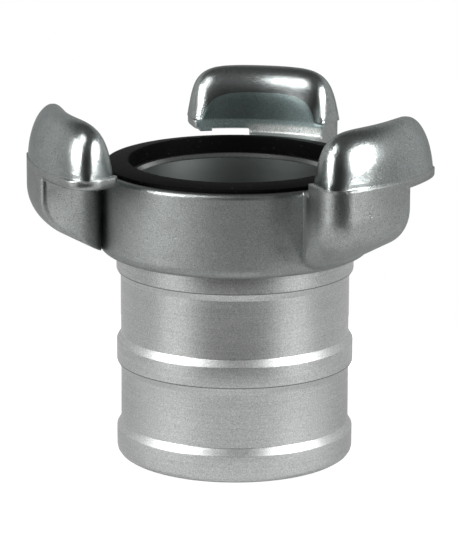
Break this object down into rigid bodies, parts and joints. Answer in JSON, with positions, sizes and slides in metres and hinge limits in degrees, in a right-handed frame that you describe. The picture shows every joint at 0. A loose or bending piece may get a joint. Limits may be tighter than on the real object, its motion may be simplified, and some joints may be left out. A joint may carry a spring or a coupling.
{
  "type": "quarter turn fire hose coupling",
  "caption": "Symmetric fire hose coupling: turned ring with hooked claws and rubber face seal, swivelling on a ridged hose tail.",
  "frame": {"origin": "on the water way's axis, at the free end face of the hose tail", "axes": "+Z along the water way from the hose end towards the claws; -Y faces the viewer of the picture"},
  "size_m": [0.1182, 0.1134, 0.1067],
  "materials": {
    "cast_aluminium": "forged and tumbled, domes polished",
    "turned_aluminium": "turned",
    "black_rubber": "satin",
    "spring_steel": "plain"
  },
  "bodies": {
    "tail": {"hose_tail": "turned_aluminium"},
    "head": {"claw_head": "cast_aluminium", "face_seal": "black_rubber", "retaining_ring": "spring_steel"}
  },
  "joints": [
    {"name": "head_swivel", "type": "hinge", "parent": "tail", "child": "head", "pos_m": [0, 0, 0.0652], "axis": [0, 0, 1], "continuous": true}
  ]
}
